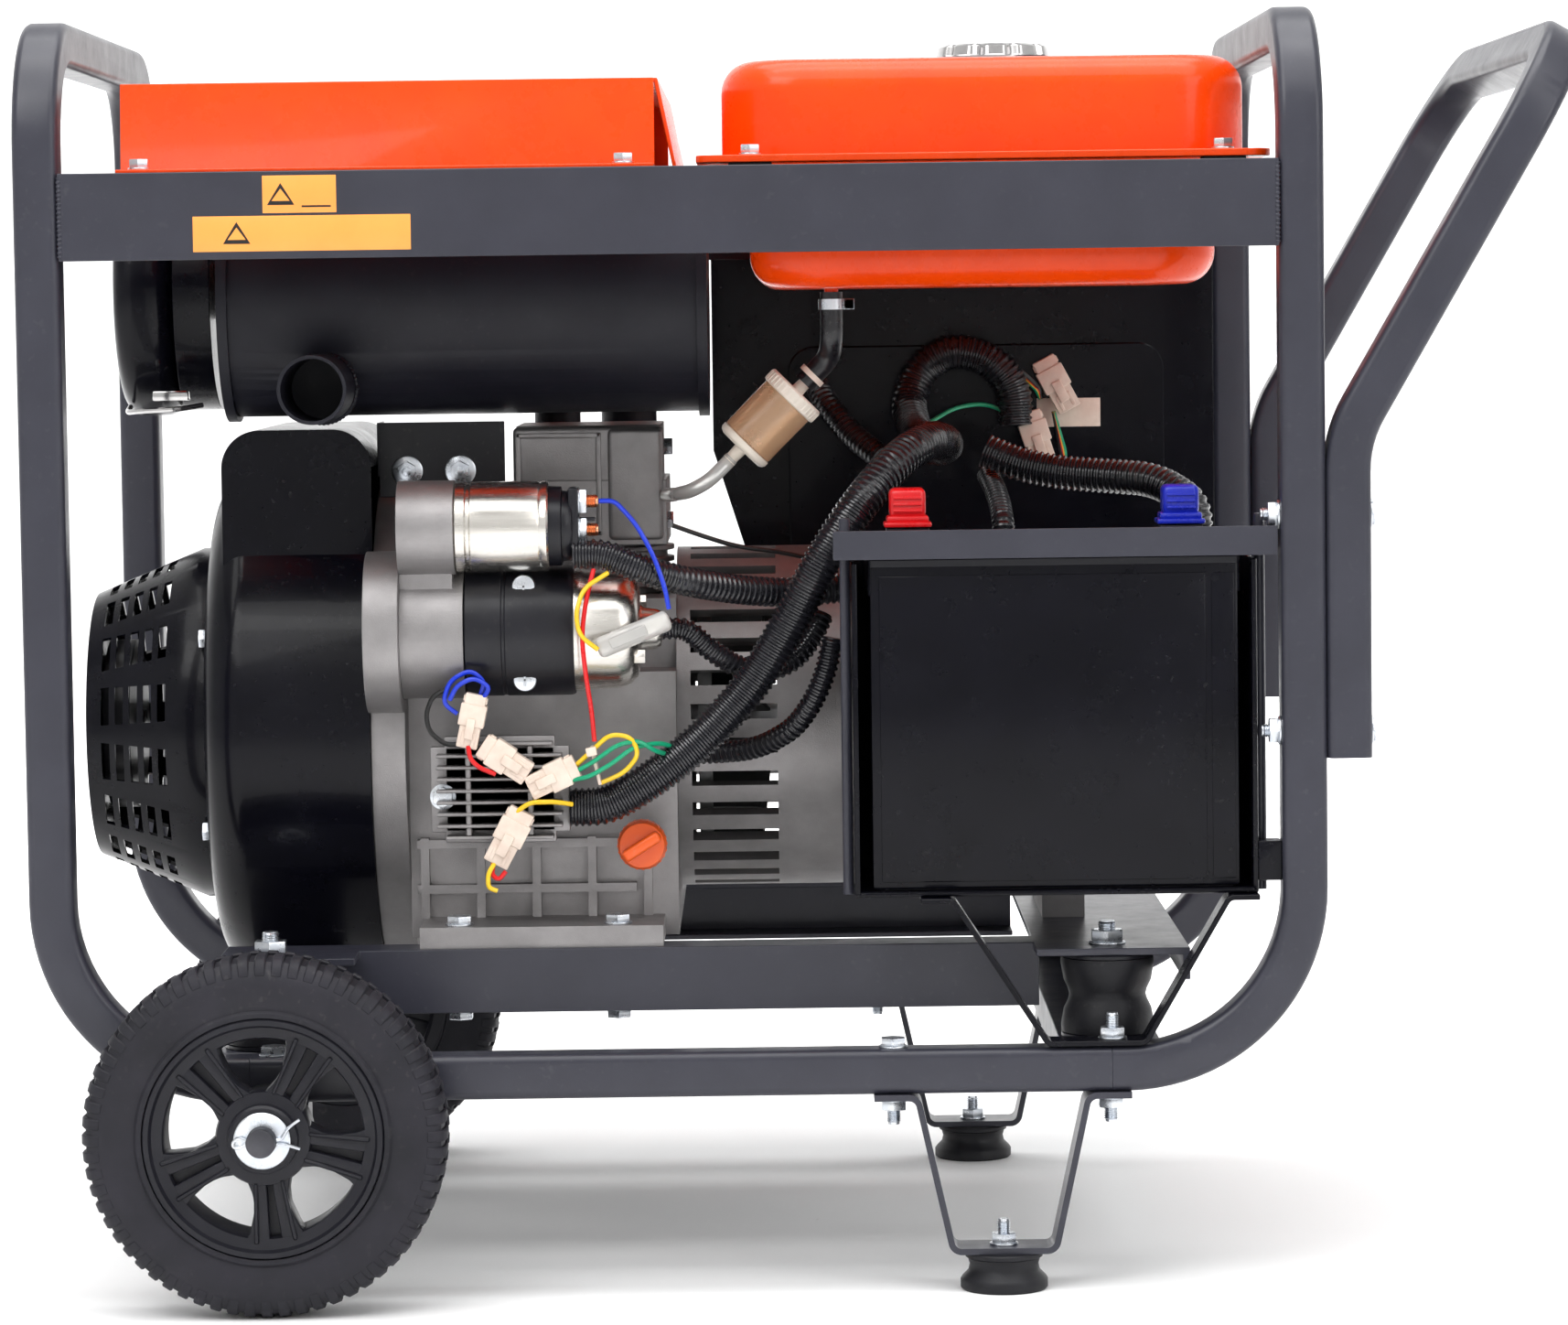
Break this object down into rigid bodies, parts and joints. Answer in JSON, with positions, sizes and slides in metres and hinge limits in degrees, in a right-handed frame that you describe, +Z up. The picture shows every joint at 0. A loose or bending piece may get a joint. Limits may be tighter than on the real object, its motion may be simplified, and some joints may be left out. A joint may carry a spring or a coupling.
{
  "type": "engine driven welder",
  "caption": "Air-cooled engine and welding alternator in a wheeled tube frame with orange fuel tank and heat shield, push handle, battery and control panel.",
  "frame": {"origin": "on the floor under the middle of the machine's overall box", "axes": "+X from the recoil starter towards the push handle, +Y from the battery side towards the control panel, +Z up"},
  "size_m": [0.872, 0.6266, 0.712],
  "materials": {
    "frame_paint": "satin powder coat",
    "orange_paint": "gloss paint",
    "black_gloss": "gloss stove enamel",
    "muffler_black": "matt heat paint",
    "mount_rubber": "moulded rubber",
    "hose_rubber": "smooth hose",
    "wheel_rubber": "blocky tread",
    "rim_plastic": "moulded, fine grain",
    "black_plastic": "moulded",
    "conduit_plastic": "corrugated",
    "nylon_white": "milky nylon",
    "orange_plastic": "moulded",
    "red_plastic": "moulded",
    "blue_plastic": "moulded",
    "filter_plastic": "translucent",
    "axle_steel": "oiled",
    "machined_steel": "machined",
    "solenoid_steel": "drawn, bright",
    "zinc_plate": "zinc plated",
    "cap_chrome": "bright",
    "cast_aluminium": "die cast, blasted",
    "cast_iron_grey": "as cast"
  },
  "bodies": {
    "root": {"frame_hoop_left": "frame_paint", "frame_hoop_right": "frame_paint", "bottom_rails": "frame_paint", "top_rails": "frame_paint", "cross_members": "frame_paint", "engine_bed": "frame_paint", "push_handle": "frame_paint", "leg_brackets": "frame_paint", "battery_clamp": "frame_paint", "isolators": "mount_rubber", "foot_rubbers": "mount_rubber", "axle": "axle_steel", "wheel_keepers": "zinc_plate", "bolts": "zinc_plate", "crankcase": "cast_aluminium", "cylinder": "cast_aluminium", "cylinder_head": "cast_aluminium", "flywheel_housing": "cast_aluminium", "starter_housing": "cast_aluminium", "regulator": "cast_aluminium", "alternator_housing": "cast_aluminium", "alternator_cover": "cast_aluminium", "piston": "cast_aluminium", "shaft_bearings": "machined_steel", "stator": "machined_steel", "fan_shroud": "black_gloss", "recoil_cover": "black_gloss", "air_cleaner": "black_gloss", "battery_tray": "black_gloss", "panel_box": "black_gloss", "starter_motor": "black_gloss", "battery": "black_plastic", "panel_outlets": "black_plastic", "muffler": "muffler_black", "engine_pipes": "muffler_black", "heat_shield": "orange_paint", "fuel_tank": "orange_paint", "starter_solenoid": "solenoid_steel", "fuel_filter": "filter_plastic", "fuel_hoses": "hose_rubber", "panel_fascia": "frame_paint", "conduits": "conduit_plastic", "harness_leads": "nylon_white"},
    "wheel_near": {"rim_near": "rim_plastic", "tyre_near": "wheel_rubber"},
    "wheel_far": {"rim_far": "rim_plastic", "tyre_far": "wheel_rubber"},
    "crank": {"flywheel": "cast_iron_grey", "crankshaft": "machined_steel", "rotor": "machined_steel"},
    "fuel_cap": {"fuel_cap": "cap_chrome"},
    "dipstick": {"dipstick": "orange_plastic"},
    "recoil_grip": {"recoil_grip": "black_plastic"},
    "recoil_reel": {"recoil_reel": "black_plastic"},
    "start_key": {"start_key": "black_plastic"},
    "current_knob": {"current_knob": "black_plastic"},
    "breaker_toggle": {"breaker_toggle": "black_plastic"},
    "decompression_lever": {"decompression_lever": "zinc_plate"},
    "boot_red": {"boot_red": "red_plastic"},
    "boot_blue": {"boot_blue": "blue_plastic"}
  },
  "joints": [
    {"name": "wheel_near_spin", "type": "hinge", "parent": "root", "child": "wheel_near", "pos_m": [-0.303, -0.2765, 0.1], "axis": [0, 1, 0], "continuous": true},
    {"name": "wheel_far_spin", "type": "hinge", "parent": "root", "child": "wheel_far", "pos_m": [-0.303, 0.2765, 0.1], "axis": [0, 1, 0], "continuous": true},
    {"name": "crank_spin", "type": "hinge", "parent": "root", "child": "crank", "pos_m": [-0.13, 0, 0.305], "axis": [1, 0, 0], "continuous": true},
    {"name": "fuel_cap_turn", "type": "hinge", "parent": "root", "child": "fuel_cap", "pos_m": [0.113, 0, 0.69], "axis": [0, 0, 1], "range_deg": [0, 90]},
    {"name": "dipstick_turn", "type": "hinge", "parent": "root", "child": "dipstick", "pos_m": [-0.098, -0.14, 0.243], "axis": [0, -1, 0], "range_deg": [0, 360]},
    {"name": "recoil_pull", "type": "slide", "parent": "root", "child": "recoil_grip", "axis": [0, 1, 0], "range_m": [0, 0.15], "stiffness_N_per_m": 40, "springref_m": -0.02},
    {"name": "reel_turn", "type": "hinge", "parent": "root", "child": "recoil_reel", "pos_m": [-0.406, 0, 0.305], "axis": [1, 0, 0], "range_deg": [0, 172]},
    {"name": "key_turn", "type": "hinge", "parent": "root", "child": "start_key", "pos_m": [0.102, 0.239, 0.505], "axis": [0, -1, 0], "range_deg": [0, 90]},
    {"name": "current_turn", "type": "hinge", "parent": "root", "child": "current_knob", "pos_m": [0.042, 0.239, 0.505], "axis": [0, -1, 0], "range_deg": [0, 270]},
    {"name": "breaker_flip", "type": "hinge", "parent": "root", "child": "breaker_toggle", "pos_m": [0.157, 0.232, 0.505], "axis": [1, 0, 0], "range_deg": [0, 40]},
    {"name": "decompress", "type": "hinge", "parent": "root", "child": "decompression_lever", "pos_m": [-0.144, 0.056, 0.464], "axis": [0, -1, 0], "range_deg": [0, 60], "stiffness_Nm_per_rad": 0.05, "springref_deg": -11.46},
    {"name": "boot_red_flip", "type": "hinge", "parent": "root", "child": "boot_red", "pos_m": [0.0545, -0.1955, 0.4238], "axis": [1, 0, 0], "range_deg": [0, 100]},
    {"name": "boot_blue_flip", "type": "hinge", "parent": "root", "child": "boot_blue", "pos_m": [0.2075, -0.1955, 0.4238], "axis": [1, 0, 0], "range_deg": [0, 100]}
  ],
  "couplings": [
    {"joint": "reel_turn", "follows": "recoil_pull", "rad_per_m": 20}
  ]
}
